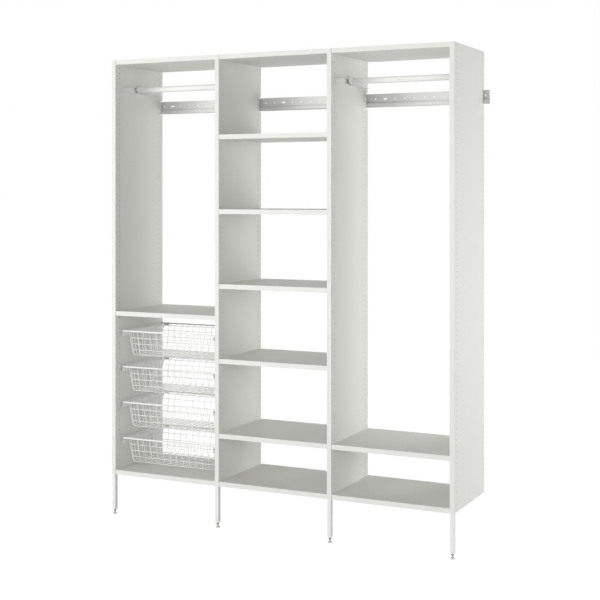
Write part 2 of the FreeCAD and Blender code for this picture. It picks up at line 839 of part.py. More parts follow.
def make_runner(name, side, step):
    body = new_body(name)
    sheet_size = size.runner_sheet
    low = -size.runner_drop
    lip_top = low + size.runner_lip_height
    outline = new_sketch(body, "XZ_Plane", -(runner_front + size.runner_length))
    profile = [
        (0, low),
        (size.runner_floor_width, low),
        (size.runner_width, lip_top),
        (size.runner_width - sheet_size, lip_top),
        (size.runner_floor_width - sheet_size, low + sheet_size),
        (sheet_size, low + sheet_size),
        (sheet_size, size.runner_rise),
        (0, size.runner_rise),
    ]
    draw_outline(outline, [(side * sized(x), z) for x, z in profile])
    add_pad(body, outline, size.runner_length)
    corner = new_sketch(body, "YZ_Plane")
    draw_outline(corner, [
        (runner_front, low),
        (runner_front + size.runner_slant_length, low),
        (runner_front, low + size.runner_slant_rise),
    ])
    add_pocket(body, corner, size.runner_width + size.overrun, backward=side > 0)
    holes = new_sketch(body, "YZ_Plane")
    for place_y in row_places:
        draw_circle(holes, place_y, 0, size.wall_screw_diameter + size.wall_screw_clearance)
    add_pocket(body, holes, sheet_size + size.overrun, backward=side > 0)
    place(body, wall_place(0, side), 0, hole_height(step))


# The frame of a basket: a round bar in front, two flat side rails that slide in the runners, a round
# wire at the back and two corner plates under its ends
lip_height = size.runner_lip_height - size.runner_drop
bar_radius = size.front_bar_diameter / 2
wire_radius = size.back_wire_diameter / 2
bar_y = -half_depth + size.basket_front_gap
bar_z = lip_height + size.front_bar_lift + bar_radius
frame_back = half_depth - size.basket_back_gap
frame_top = bar_z + size.side_rail_cover
back_top = frame_top + size.back_wire_lift
half_frame = size.bay_width / 2 - size.basket_side_gap
side_rail_low = size.runner_sheet - size.runner_drop + size.side_rail_lift


def add_rod(name, radius, place_y, place_z):
    rod = doc.addObject("Part::Cylinder", name)
    rod.Placement.Rotation = FreeCAD.Rotation(vector(0, 1, 0), 90)
    bind(rod, "Radius", radius)
    bind(rod, "Height", half_frame * 2)
    place(rod, -half_frame, place_y, place_z)
    return rod


def add_block(name, low_corner, lengths):
    block = doc.addObject("Part::Box", name)
    for axis, length in zip(("Length", "Width", "Height"), lengths):
        bind(block, axis, length)
    place(block, *low_corner)
    return block


def make_basket_frame(name, step):
    pieces = [
        add_rod(name + "_front_bar", bar_radius, bar_y, bar_z),
        add_rod(name + "_back_wire", wire_radius, frame_back - wire_radius, back_top - wire_radius),
    ]
    rail_lengths = (size.side_rail_sheet, frame_back - bar_y, frame_top - side_rail_low)
    plate_lengths = (size.corner_plate_length, size.corner_plate_sheet, size.corner_plate_height)
    plate_y = frame_back - size.corner_plate_sheet
    plate_z = back_top - size.corner_plate_height
    plate_end = size.bay_width / 2 - size.runner_width - size.corner_plate_gap
    for side, side_name in ((1, "right"), (-1, "left")):
        rail_x = half_frame - size.side_rail_sheet if side > 0 else -half_frame
        plate_x = plate_end - size.corner_plate_length if side > 0 else -plate_end
        pieces.append(add_block("%s_%s_rail" % (name, side_name), (rail_x, bar_y, side_rail_low), rail_lengths))
        pieces.append(add_block("%s_%s_plate" % (name, side_name), (plate_x, plate_y, plate_z), plate_lengths))
    frame = doc.addObject("Part::MultiFuse", name)
    frame.Label = name
    frame.Shapes = pieces
    place(frame, bay_lefts[0] + size.bay_width / 2, 0, hole_height(step))
    nodes.append(frame)


# The wire body of a basket, as a thin open box with a net of gaps in its four walls and its floor. The
# walls lean inwards to the floor, and wires run out from the upper edge to the side rails and the bar.
mesh_top = bar_z.number
mesh_floor = mesh_top - size.mesh_depth.number
mesh_wire = size.mesh_wire.number
mesh_half_width = (size.bay_width / 2 - size.mesh_side_gap).number
mesh_front = (bar_y + size.mesh_front_gap).number
mesh_back = (frame_back - size.mesh_back_gap).number
mesh_middle = (mesh_front + mesh_back) / 2
mesh_half_length = (mesh_back - mesh_front) / 2


def wall_lean(taper, height):
    return taper.number * (mesh_top - height) / size.mesh_depth.number


def mesh_corners(height, inset):
    half_width = mesh_half_width - wall_lean(size.mesh_side_taper, height) - inset
    half_length = mesh_half_length - wall_lean(size.mesh_end_taper, height) - inset
    return [
        vector(-half_width, mesh_middle - half_length, height),
        vector(half_width, mesh_middle - half_length, height),
        vector(half_width, mesh_middle + half_length, height),
        vector(-half_width, mesh_middle + half_length, height),
    ]


def leaning_box(low, high, inset):
    low_corners = mesh_corners(low, inset)
    high_corners = mesh_corners(high, inset)
    faces = [low_corners, high_corners]
    for index in range(4):
        after = (index + 1) % 4
        faces.append([low_corners[index], low_corners[after], high_corners[after], high_corners[index]])
    shell = Part.makeShell([Part.Face(Part.makePolygon(corners + corners[:1])) for corners in faces])
    return Part.makeSolid(shell)


# The gaps between wires that stand at these places, with the last gap on each side up to the corner
def gaps_between(places, ends):
    edges = [-ends] + [edge for wire in places for edge in (wire - mesh_wire / 2, wire + mesh_wire / 2)]
    edges.append(ends)
    return list(zip(edges[::2], edges[1::2]))


def wire_places(pitch, count):
    return [(index - (count.number - 1) / 2) * pitch.number for index in range(int(count.number))]


def mesh_gap(low, high, start, end, taper, half, along):
    corners = []
    for height, edge in ((low, start), (low, end), (high, end), (high, start)):
        limit = half - wall_lean(taper, height) - mesh_wire
        inside = max(-limit, min(limit, edge))
        corners.append((inside, height))
    reach = (mesh_half_width if along == "x" else mesh_half_length) + size.overrun.number
    if along == "x":
        points = [vector(-reach, mesh_middle + edge, height) for edge, height in corners]
        run = vector(reach * 2, 0, 0)
    else:
        points = [vector(edge, mesh_middle - reach, height) for edge, height in corners]
        run = vector(0, reach * 2, 0)
    return Part.Face(Part.makePolygon(points + points[:1])).extrude(run)


def mesh_shape():
    box = leaning_box(mesh_floor, mesh_top, 0)
    inner = leaning_box(mesh_floor + mesh_wire, mesh_top + size.overrun.number, mesh_wire)
    walls = box.cut(inner)
    columns = wire_places(size.mesh_column_pitch, size.mesh_columns)
    side_columns = wire_places(size.mesh_side_pitch, size.mesh_side_columns)
    row_count = int(size.mesh_rows.number)
    rows = [
        mesh_top - size.mesh_first_row.number - size.mesh_row_pitch.number * index
        for index in range(row_count)
    ]
    highs = [mesh_top - mesh_wire] + [row - mesh_wire / 2 for row in rows]
    lows = [row + mesh_wire / 2 for row in rows] + [mesh_floor + mesh_wire]
    gaps = []
    for low, high in zip(lows, highs):
        for start, end in gaps_between(columns, mesh_half_width):
            gaps.append(mesh_gap(low, high, start, end, size.mesh_side_taper, mesh_half_width, "y"))
        for start, end in gaps_between(side_columns, mesh_half_length):
            gaps.append(mesh_gap(low, high, start, end, size.mesh_end_taper, mesh_half_length, "x"))
    floor_half = mesh_half_length - size.mesh_end_taper.number - mesh_wire
    for start_x, end_x in gaps_between(columns, 0)[1:-1]:
        for start_y, end_y in gaps_between(side_columns, floor_half):
            corner = vector(start_x, mesh_middle + start_y, mesh_floor - size.overrun.number)
            gaps.append(Part.makeBox(end_x - start_x, end_y - start_y,
                                     mesh_wire + size.overrun.number, corner))
    net = walls.cut(gaps)
    arm_length = (half_frame - size.side_rail_sheet).number - mesh_half_width + mesh_wire
    arms = []
    for side_place in side_columns:
        for start in (-mesh_half_width - arm_length + mesh_wire, mesh_half_width - mesh_wire):
            corner = vector(start, mesh_middle + side_place - mesh_wire / 2, mesh_top - mesh_wire)
            arms.append(Part.makeBox(arm_length, mesh_wire, mesh_wire, corner))
    front_arm_start = (bar_y + bar_radius + size.mesh_seat).number
    for column in columns:
        corner = vector(column - mesh_wire / 2, front_arm_start, mesh_top - mesh_wire)
        arms.append(Part.makeBox(mesh_wire, mesh_front - front_arm_start + mesh_wire, mesh_wire, corner))
    return net.multiFuse(arms)


net_shape = mesh_shape()
basket_count = int(size.basket_count.number)
basket_steps = [size.basket_step - size.basket_step_pitch * index for index in range(basket_count)]
runner_screws = []
for number, step in enumerate(basket_steps, start=1):
    for side, side_name in ((1, "left"), (-1, "right")):
        make_runner("basket_%d_%s_runner" % (number, side_name), side, step)
        for place_y in row_places:
            runner_screws.append(wall_screw(0, side, place_y, step, size.runner_sheet))
    make_basket_frame("basket_%d_frame" % number, step)
    mesh = doc.addObject("Part::Feature", "basket_%d_mesh" % number)
    mesh.Label = "basket_%d_mesh" % number
    mesh.Shape = net_shape
    place(mesh, bay_lefts[0] + size.bay_width / 2, 0, hole_height(step))
    nodes.append(mesh)
add_solids("runner_screws", runner_screws)

doc.recompute()
for item in doc.Objects:
    if "Invalid" in item.State or "Error" in item.State:
        raise ValueError("%s is %s" % (item.Label, item.State))
os.makedirs("parts", exist_ok=True)
for node in nodes:
    if node.Shape.isNull() or not node.Shape.isValid():
        raise ValueError("%s has no sound shape" % node.Label)
    node.Shape.exportStep("parts/%s.step" % node.Label)
    print(node.Label, len(node.Shape.Solids), round(node.Shape.Volume))
print(len(nodes), "nodes")
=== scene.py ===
import math
import bpy
from mathutils import Matrix, Vector


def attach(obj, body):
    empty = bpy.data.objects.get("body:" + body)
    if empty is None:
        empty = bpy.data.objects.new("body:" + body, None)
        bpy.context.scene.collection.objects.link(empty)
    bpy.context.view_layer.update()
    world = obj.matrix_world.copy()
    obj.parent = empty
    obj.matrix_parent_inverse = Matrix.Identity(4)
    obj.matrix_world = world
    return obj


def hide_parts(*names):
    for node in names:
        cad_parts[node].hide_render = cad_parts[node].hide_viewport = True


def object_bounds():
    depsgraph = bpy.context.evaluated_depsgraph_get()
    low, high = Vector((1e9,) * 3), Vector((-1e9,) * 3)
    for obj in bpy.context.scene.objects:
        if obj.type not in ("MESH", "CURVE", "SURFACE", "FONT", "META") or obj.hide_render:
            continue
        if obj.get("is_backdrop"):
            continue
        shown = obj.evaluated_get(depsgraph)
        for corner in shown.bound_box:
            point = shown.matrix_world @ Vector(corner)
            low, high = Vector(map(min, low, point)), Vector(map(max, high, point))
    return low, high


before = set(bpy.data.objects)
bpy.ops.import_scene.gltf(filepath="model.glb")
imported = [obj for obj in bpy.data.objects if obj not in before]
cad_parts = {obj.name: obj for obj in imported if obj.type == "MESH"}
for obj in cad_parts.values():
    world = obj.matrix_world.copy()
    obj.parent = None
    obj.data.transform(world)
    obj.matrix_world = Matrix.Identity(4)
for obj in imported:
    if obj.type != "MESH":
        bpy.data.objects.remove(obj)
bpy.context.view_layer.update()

# The camera stands where the photograph was taken: level with the upper shelves, to the right of the
# closet and turned to the left. The lens and the shift give the photograph's framing.
picture_width = 600
focal_length = 1162.06
axis_across, axis_down = 379.4325, 193.6782
camera_data = bpy.data.cameras.new("camera")
camera_data.sensor_width = 36
camera_data.lens = focal_length * camera_data.sensor_width / picture_width
camera_data.shift_x = 0.5 - axis_across / picture_width
camera_data.shift_y = axis_down / picture_width - 0.5
camera = bpy.data.objects.new("camera", camera_data)
camera.location = (2.60101, -4.87445, 1.56622)
camera.rotation_euler = (math.pi / 2, 0, 0.415211)
bpy.context.scene.collection.objects.link(camera)
bpy.context.scene.camera = camera
bpy.context.scene.view_settings.view_transform = "Standard"


# The studio: a white floor under a white surround, an even light from all sides, and large soft lamps in
# front of the closet, beside it and above it. The floor looks white and keeps the closet's shadow.
class Shade:
    def __init__(self, tree, socket=None):
        self.tree = tree
        self.socket = socket

    def node(self, kind, settings, inputs, output=0):
        made = self.tree.nodes.new("ShaderNode" + kind)
        for name, value in settings.items():
            setattr(made, name, value)
        for name, value in inputs.items():
            if isinstance(value, Shade):
                self.tree.links.new(value.socket, made.inputs[name])
            else:
                made.inputs[name].default_value = value
        return Shade(self.tree, made.outputs[output] if made.outputs else None)

    def maths(self, operation, first, second=0.0):
        return self.node("Math", {"operation": operation}, {0: first, 1: second})

    def __add__(self, other):
        return self.maths("ADD", self, other)

    def __sub__(self, other):
        return self.maths("SUBTRACT", self, other)

    def __mul__(self, other):
        return self.maths("MULTIPLY", self, other)

    def __lt__(self, other):
        return self.maths("LESS_THAN", self, other)

    def __gt__(self, other):
        return self.maths("GREATER_THAN", self, other)

    def __abs__(self):
        return self.maths("ABSOLUTE", self)

    __radd__ = __add__


def new_material(name):
    material = bpy.data.materials.new(name)
    material.use_nodes = True
    material.node_tree.nodes.clear()
    return material, Shade(material.node_tree)


def seen_directly(start):
    rays = ("Is Camera Ray", "Is Glossy Ray", "Is Transmission Ray")
    camera_ray, glossy_ray, clear_ray = [start.node("LightPath", {}, {}, ray) for ray in rays]
    return start.maths("MAXIMUM", start.maths("MAXIMUM", camera_ray, glossy_ray), clear_ray)


def mix(start, share, first, second):
    return start.node("Mix", {"data_type": "RGBA"}, {0: share, 6: first, 7: second}, 2)


surround_light = 0.176
white, black = (1, 1, 1, 1), (0, 0, 0, 1)
world = bpy.data.worlds.new("surround")
bpy.context.scene.world = world
world.use_nodes = True
world.node_tree.nodes.clear()
start = Shade(world.node_tree)
strength = surround_light + seen_directly(start) * (1 - surround_light)
surround = start.node("Background", {}, {"Color": white, "Strength": strength})
start.node("OutputWorld", {}, {"Surface": surround})

floor_size = 60
floor_colour, floor_colour_seen = (0.80, 0.80, 0.80, 1), (0.12, 0.12, 0.12, 1)
near_glow, glow_start, glow_end = (0.96, 0.96, 0.96, 1), 1.6, 3.4
material, start = new_material("studio_floor")
place = start.node("TexCoord", {}, {}, "Object")
distance = start.node("VectorMath", {"operation": "LENGTH"}, {0: place}, "Value")
far = start.node("MapRange", {"interpolation_type": "SMOOTHSTEP"}, {
    "Value": distance,
    "From Min": glow_start,
    "From Max": glow_end,
    "To Min": 0.0,
    "To Max": 1.0,
}, "Result")
glow = mix(start, far, near_glow, white)
paint = start.node("BsdfPrincipled", {}, {
    "Base Color": mix(start, seen_directly(start), floor_colour, floor_colour_seen),
    "Roughness": 0.9,
    "Specular IOR Level": 0.0,
    "Emission Color": mix(start, seen_directly(start), black, glow),
    "Emission Strength": 1.0,
})
start.node("OutputMaterial", {}, {"Surface": paint})
bpy.ops.object.select_all(action="DESELECT")
bpy.ops.mesh.primitive_plane_add(size=floor_size)
floor = bpy.context.object
floor.name = "floor"
floor.data.materials.append(material)
floor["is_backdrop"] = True

# Each lamp has its place, its width and its power. All of them point at the middle of the closet.
lamps_aim = Vector((0, 0, 1.1))
lamps = {
    "front_left_lamp": ((-4.0, -5.5, 2.5), 3.0, 85),
    "front_left_low_lamp": ((-3.0, -5.5, 0.9), 3.0, 113),
    "front_lamp": ((-1.2, -6.0, 1.8), 3.0, 52),
    "front_right_lamp": ((4.0, -5.5, 2.5), 3.0, 93),
    "left_lamp": ((-6.0, 0.5, 1.5), 3.0, 94),
    "right_front_lamp": ((3.2, -1.6, 1.2), 2.0, 6),
    "right_back_lamp": ((3.2, 1.6, 1.2), 2.0, 45),
    "top_lamp": ((0.0, 0.3, 5.2), 1.0, 36),
}
for name, (place, width, power) in lamps.items():
    lamp_data = bpy.data.lights.new(name, "AREA")
    lamp_data.size = width
    lamp_data.energy = power
    lamp = bpy.data.objects.new(name, lamp_data)
    lamp.location = place
    lamp.rotation_euler = (lamps_aim - lamp.location).to_track_quat("-Z", "Y").to_euler()
    lamp.visible_camera = False
    bpy.context.scene.collection.objects.link(lamp)


# Boards: chipboard with a white foil on both faces and a thin band along the edges. The two rows of
# holes in the uprights are drilled through, so that the raw board shows in them. In front, a thin joint
# between each shelf and the upright on its left is painted dark, as painted shade in the joint.
def noise(start, place, scale):
    return start.node("TexNoise", {}, {"Vector": place, "Scale": scale, "Detail": 2.0})


def position(start, axis):
    return start.node("SeparateXYZ", {}, {"Vector": start.node("TexCoord", {}, {}, "Object")}, axis)


def relief(start, height, depth):
    return start.node("Bump", {}, {"Height": height, "Distance": depth})


def finish(start, settings):
    start.node("OutputMaterial", {}, {"Surface": start.node("BsdfPrincipled", {}, settings)})


def shade_of(colour, factor):
    return tuple(channel * factor for channel in colour) + (1,)


foil = (0.82, 0.82, 0.785)
dark_chips, light_chips = (0.42, 0.39, 0.34, 1), (0.60, 0.57, 0.52, 1)
cloud_grain, pebble_grain = 3.0, 700.0
band_depth, glue_line = 0.1990, 0.00012
# The shelves of the three bays start at these places.
shelf_starts, half_joint = (-0.8685, -0.2825, 0.3035), 0.001
hole_row, hole_reach = 0.168, 0.004


def board_foil(name, drilled):
    material, start = new_material(name)
    place = start.node("TexCoord", {}, {}, "Object")
    along = position(start, "Y")
    tone = mix(start, noise(start, place, cloud_grain), shade_of(foil, 0.985), shade_of(foil, 1.015))
    band = along < -band_depth
    on_glue = (abs(along + band_depth) < glue_line) * 0.5
    tone = mix(start, on_glue, tone, shade_of(foil, 0.6))
    if drilled:
        normal = start.node("TexCoord", {}, {}, "Normal")
        facing = start.node("SeparateXYZ", {}, {"Vector": normal}, "X")
        in_hole = (abs(facing) < 0.5) * (abs(abs(along) - hole_row) < hole_reach)
        chips = mix(start, noise(start, place, pebble_grain), dark_chips, light_chips)
        tone = mix(start, in_hole, tone, chips)
    else:
        across = position(start, "X")
        # Painted shade: a dark line at the left end of each shelf's front band, for the shade in the
        # joint.
        for shelf_start in shelf_starts:
            in_shaded_joint = (abs(across - (shelf_start + half_joint)) < half_joint) * band
            tone = mix(start, in_shaded_joint, tone, shade_of(foil, 0.35))
    pebble = noise(start, place, pebble_grain)
    finish(start, {
        "Base Color": tone,
        "Roughness": 0.46 + pebble * 0.08 - band * 0.08,
        "Specular IOR Level": 0.25,
        "Normal": relief(start, pebble, 0.00004),
    })
    return material


def paint_node(node, material):
    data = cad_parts[node].data
    data.materials.clear()
    data.materials.append(material)


drilled_foil = board_foil("white_foil_drilled", True)
plain_foil = board_foil("white_foil", False)
uprights = ["left_side_panel", "left_divider", "right_divider", "right_side_panel"]
shelves = ["%s_bay_%s_shelf" % (bay, place) for bay in ("left", "middle", "right")
           for place in ("top", "bottom")]
shelves += ["left_bay_middle_shelf", "right_bay_low_shelf"]
shelves += ["middle_bay_shelf_%d" % number for number in range(1, 6)]
for upright in uprights:
    paint_node(upright, drilled_foil)
for shelf in shelves:
    paint_node(shelf, plain_foil)


# Small steel fittings inside and behind the boards: shelf pins, cam bolts and locks, the bolts in the
# legs, and the hooks at the back of the uprights with their screws. They are stamped or turned and zinc
# plated.
plate_tone = (0.66, 0.66, 0.65)
zinc, start = new_material("zinc_plate")
place = start.node("TexCoord", {}, {}, "Object")
cloud = noise(start, place, 120.0)
finish(start, {
    "Base Color": mix(start, cloud, shade_of(plate_tone, 0.9), shade_of(plate_tone, 1.08)),
    "Metallic": 1.0,
    "Roughness": 0.30 + cloud * 0.12,
    "Normal": relief(start, noise(start, place, 720.0), 0.00002),
})
for node in ("shelf_pins", "cam_bolts", "cam_locks", "hook_screws", "leg_bolts", "panel_hooks"):
    paint_node(node, zinc)


# Legs: four square steel tubes with a white powder coat. A black plastic plug closes the upper end, and
# a dark socket in the lower end takes the thread of the levelling foot.
peel_grain = 900.0


def powder_coat(name, tone, roughness=0.38):
    material, start = new_material(name)
    place = start.node("TexCoord", {}, {}, "Object")
    peel = noise(start, place, peel_grain)
    cloud = noise(start, place, 12.0)
    finish(start, {
        "Base Color": mix(start, cloud, shade_of(tone, 0.98), shade_of(tone, 1.02)),
        "Roughness": roughness + peel * 0.1,
        "Normal": relief(start, peel, 0.00004),
    })
    return material


leg_coat = powder_coat("leg_coat", (0.88, 0.88, 0.86))
for leg in ("left_side_leg", "left_divider_leg", "right_divider_leg", "right_side_leg"):
    paint_node(leg, leg_coat)
paint_node("leg_top_plugs", powder_coat("black_plug", (0.05, 0.05, 0.05), 0.55))
paint_node("leg_sockets", powder_coat("dark_socket", (0.12, 0.12, 0.12), 0.45))


# Levelling feet: a round plastic disc moulded on a steel screw, which turns in the socket of the leg.
# The disc is a light grey, and the screw is plated and has a thread of 1.25 mm pitch.
def line(points, bends=(), closed=False, segments=4):
    places = [Vector(point) for point in points]
    bpy.ops.object.select_all(action="DESELECT")
    bpy.ops.mesh.primitive_plane_add(size=0.001, location=places[0])
    piece = bpy.context.object
    bpy.ops.object.transform_apply(location=True)
    bpy.ops.object.mode_set(mode="EDIT")
    bpy.ops.mesh.select_mode(type="VERT")
    bpy.ops.mesh.select_all(action="SELECT")
    bpy.ops.mesh.merge(type="CENTER")
    for place, following in zip(places, places[1:]):
        bpy.ops.mesh.extrude_region_move(TRANSFORM_OT_translate={"value": following - place})
    if closed:
        bpy.ops.mesh.select_all(action="SELECT")
        bpy.ops.mesh.edge_face_add()
        bpy.ops.mesh.delete(type="ONLY_FACE")
    for place, bend in zip(places, bends):
        if bend:
            bpy.ops.mesh.select_all(action="DESELECT")
            bpy.ops.object.mode_set(mode="OBJECT")
            min(piece.data.vertices, key=lambda vertex: (vertex.co - place).length).select = True
            bpy.ops.object.mode_set(mode="EDIT")
            bpy.ops.mesh.bevel(affect="VERTICES", offset=bend, segments=segments)
    bpy.ops.mesh.select_all(action="SELECT")
    return piece


def turned(profile, sides):
    piece = line([(radius, 0, height) for radius, height in profile])
    bpy.ops.mesh.spin(steps=sides, angle=math.radians(360), center=(0, 0, 0), axis=(0, 0, 1))
    bpy.ops.mesh.select_all(action="SELECT")
    bpy.ops.mesh.remove_doubles(threshold=0.00001)
    bpy.ops.mesh.normals_make_consistent(inside=False)
    bpy.ops.object.mode_set(mode="OBJECT")
    return piece


def modified(piece, kind, **settings):
    change = piece.modifiers.new(kind.lower(), kind)
    for name, value in settings.items():
        setattr(change, name, value)
    bpy.context.view_layer.objects.active = piece
    bpy.ops.object.modifier_apply(modifier=change.name)
    return piece


def smoothed(piece, angle=35):
    bpy.ops.object.select_all(action="DESELECT")
    piece.select_set(True)
    bpy.context.view_layer.objects.active = piece
    bpy.ops.object.shade_smooth_by_angle(angle=math.radians(angle))
    return modified(piece, "WEIGHTED_NORMAL", keep_sharp=True)


def copied(piece, step):
    copy = piece.copy()
    copy.data = piece.data.copy()
    copy.data.transform(Matrix.Translation(step))
    bpy.context.scene.collection.objects.link(copy)
    return copy


def fitted(piece, name, material, slot, body, *nodes):
    piece.name = name
    piece.data.materials.clear()
    piece.data.materials.append(material)
    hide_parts(*nodes)
    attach(piece, body)


disc_top = 0.0078
thread_top, thread_foot, thread_pitch = 0.040, 0.0085, 0.00125
thread_root, thread_crest = 0.0036, 0.0040
disc_tone, screw_tone = (0.74, 0.74, 0.72), (0.48, 0.48, 0.47)
foot_coat, start = new_material("foot_disc_and_screw")
place = start.node("TexCoord", {}, {}, "Object")
cloud = noise(start, place, 120.0)
on_screw = position(start, "Z") > disc_top
finish(start, {
    "Base Color": mix(start, on_screw,
                      mix(start, cloud, shade_of(disc_tone, 0.97), shade_of(disc_tone, 1.02)),
                      mix(start, cloud, shade_of(screw_tone, 0.9), shade_of(screw_tone, 1.08))),
    "Metallic": on_screw * 0.8,
    "Roughness": 0.38 + cloud * 0.1,
    "Normal": relief(start, noise(start, place, peel_grain), 0.00004),
})
thread = []
height = thread_foot
while height < thread_top - thread_pitch:
    thread += [(thread_root, height), (thread_crest, height + thread_pitch / 2)]
    height += thread_pitch
foot = smoothed(turned([
    (0, 0.0), (0.0088, 0.0), (0.0097, 0.0005), (0.0100, 0.0015), (0.0100, 0.0042), (0.0095, 0.0052),
    (0.0080, 0.0062), (0.0062, 0.0074), (0.0055, 0.0080), (0.0036, 0.0080),
] + thread + [(0.0030, thread_top), (0, thread_top)], 24))
leg_middles = (-0.879, -0.293, 0.293, 0.879)
leg_y = -0.190
for number, middle in enumerate(leg_middles, 1):
    fitted(copied(foot, (middle, leg_y, 0)), "foot_%d_disc_and_screw" % number, foot_coat, "foot",
           "foot_%d" % number, "levelling_foot_%d" % number)
bpy.data.objects.remove(foot)


# Wall rail: one long channel folded from galvanised sheet of 2 mm. Its plate stands on the wall and has
# a row of screw holes, three of them long, and its lip in front carries the hooks of the uprights.
def drawn_out(piece, run, sheet=0.0):
    bpy.ops.mesh.extrude_region_move(TRANSFORM_OT_translate={"value": run})
    bpy.ops.mesh.select_all(action="SELECT")
    bpy.ops.mesh.normals_make_consistent(inside=False)
    bpy.ops.object.mode_set(mode="OBJECT")
    if sheet:
        modified(piece, "SOLIDIFY", thickness=sheet, offset=0)
    return piece


def joined(pieces):
    bpy.ops.object.select_all(action="DESELECT")
    for piece in pieces:
        piece.select_set(True)
    bpy.context.view_layer.objects.active = pieces[0]
    bpy.ops.object.join()
    bpy.ops.object.transform_apply(location=True, rotation=True, scale=True)
    return pieces[0]


nearly_whole = 0.998


def oval(middle, width, height):
    x, y, z = middle
    across, up = width / 2, height / 2
    corner = min(across, up) * nearly_whole
    return line([(x, y - across, z - up), (x, y + across, z - up), (x, y + across, z + up),
                 (x, y - across, z + up)], [corner] * 4, closed=True, segments=8)


rail_end, rail_sheet = 0.9165, 0.002
rail_top, rail_foot, lip_top = 2.0423, 1.9778, 1.9968
plate_y, lip_y = 0.199, 0.185
wall_rail = line([(-rail_end, plate_y, rail_top), (-rail_end, plate_y, rail_foot + rail_sheet / 2),
                  (-rail_end, lip_y, rail_foot + rail_sheet / 2), (-rail_end, lip_y, lip_top)],
                 [0, 0.003, 0.004, 0], segments=5)
drawn_out(wall_rail, (rail_end * 2, 0, 0), rail_sheet)
first_hole, hole_step, hole_radius, hole_z = -0.9045, 0.05, 0.00325, 2.0178
punch_depth = 0.01
# Each run of round holes has the number of its first hole and its count.
round_hole_runs = ((0, 2), (3, 12), (16, 10), (27, 10))
punches = []
for first, count in round_hole_runs:
    bpy.ops.object.select_all(action="DESELECT")
    bpy.ops.mesh.primitive_cylinder_add(
        vertices=16, radius=hole_radius, depth=punch_depth, rotation=(math.radians(90), 0, 0),
        location=(first_hole + hole_step * first, plate_y, hole_z))
    punch = bpy.context.object
    bpy.ops.object.transform_apply(location=True, rotation=True)
    punches.append(modified(punch, "ARRAY", count=count, use_relative_offset=False,
                            use_constant_offset=True, constant_offset_displace=(hole_step, 0, 0)))
half_slot, slot_numbers = 0.009, (2, 15, 26)
for number in slot_numbers:
    x = first_hole + hole_step * number
    y = plate_y - punch_depth / 2
    low, high = hole_z - hole_radius, hole_z + hole_radius
    corners = [(x - half_slot, y, low), (x + half_slot, y, low),
               (x + half_slot, y, high), (x - half_slot, y, high)]
    slot_hole = line(corners, [hole_radius * nearly_whole] * 4, closed=True, segments=5)
    bpy.ops.mesh.edge_face_add()
    punches.append(drawn_out(slot_hole, (0, punch_depth, 0)))
punch = joined(punches)
modified(wall_rail, "BOOLEAN", operation="DIFFERENCE", object=punch, solver="EXACT")
bpy.data.objects.remove(punch)
smoothed(wall_rail, 25)
zinc_tone, lip_shade_tone = (0.70, 0.70, 0.69), (0.42, 0.42, 0.42, 1)
lip_shade_start, lip_shade_end, half_way = lip_top + 0.001, lip_top + 0.009, 0.190
galvanised, start = new_material("galvanised_sheet")
place = start.node("TexCoord", {}, {}, "Object")
along = position(start, "Y")
spangle = noise(start, place, 60.0)
# Painted shade: a band of the plate just above the lip is painted a darker zinc, for the shade that the
# lip casts on it.
lip_shade = start.node("MapRange", {}, {
    "Value": position(start, "Z"),
    "From Min": lip_shade_start,
    "From Max": lip_shade_end,
    "To Min": 0.6,
    "To Max": 0.0,
}, "Result") * (along > half_way)
on_plate = mix(start, spangle, shade_of(zinc_tone, 0.86), shade_of(zinc_tone, 1.04))
# Painted shade: the lip is painted a little darker than the plate, though both are the same sheet.
shaded_lip_tone = mix(start, spangle, shade_of(zinc_tone, 0.84), shade_of(zinc_tone, 0.97))
tone = mix(start, along < half_way, on_plate, shaded_lip_tone)
finish(start, {
    "Base Color": mix(start, lip_shade, tone, lip_shade_tone),
    "Metallic": 0.35,
    "Roughness": 0.50 + spangle * 0.12,
    "Normal": relief(start, noise(start, place, 360.0), 0.00002),
})
fitted(wall_rail, "wall_rail_channel", galvanised, "galvanised_steel", "closet", "wall_rail")


# Clothes rail brackets: long trays of folded sheet on both walls of a bay, with a rim along the upper
# and the lower edge and a taper to the front. Two screws with domed cross heads hold each of them.
def block(low, high, edge, segments):
    low, high = Vector(low), Vector(high)
    bpy.ops.object.select_all(action="DESELECT")
    bpy.ops.mesh.primitive_cube_add(size=1, location=(low + high) / 2, scale=high - low)
    piece = bpy.context.object
    bpy.ops.object.transform_apply(location=True, rotation=True, scale=True)
    return modified(piece, "BEVEL", width=edge, segments=segments)


head_radius, head_height = 0.0035, 0.002
shank_radius, shank_length = 0.0024, 0.010


def wall_screw():
    piece = turned([
        (0, head_height),
        (head_radius * 0.5, head_height * 0.95),
        (head_radius * 0.8, head_height * 0.74),
        (head_radius * 0.95, head_height * 0.42),
        (head_radius, 0.0001),
        (head_radius * 0.98, 0),
        (shank_radius, 0),
        (shank_radius, -shank_length * 0.75),
        (0, -shank_length),
    ], 20)
    arm, half_arm, arm_edge = head_radius * 0.55, head_radius * 0.11, 0.0001
    low, high = head_height * 0.35, head_height * 2
    cross = joined([
        block((-arm, -half_arm, low), (arm, half_arm, high), arm_edge, 1),
        block((-half_arm, -arm, low), (half_arm, arm, high), arm_edge, 1),
    ])
    modified(piece, "BOOLEAN", operation="DIFFERENCE", object=cross, solver="EXACT", use_self=True)
    bpy.data.objects.remove(cross)
    return smoothed(piece)


def turned_to(piece, side):
    copy = copied(piece, (0, 0, 0))
    copy.data.transform(Matrix.Rotation(math.radians(90) * side, 4, "Y"))
    return copy


bracket_z, bracket_deep = 2.082, 0.012
bracket_sheet, bracket_bend = 0.002, 0.0016
bevel_from = math.radians(50)
# The corners of the tray, by their depth and their height over bracket_z.
bracket_edge = {
    "low": [(-0.174, -0.008), (-0.142, -0.014), (0.194, -0.014)],
    "high": [(0.194, 0.013), (-0.072, 0.013), (-0.174, 0.006)],
}


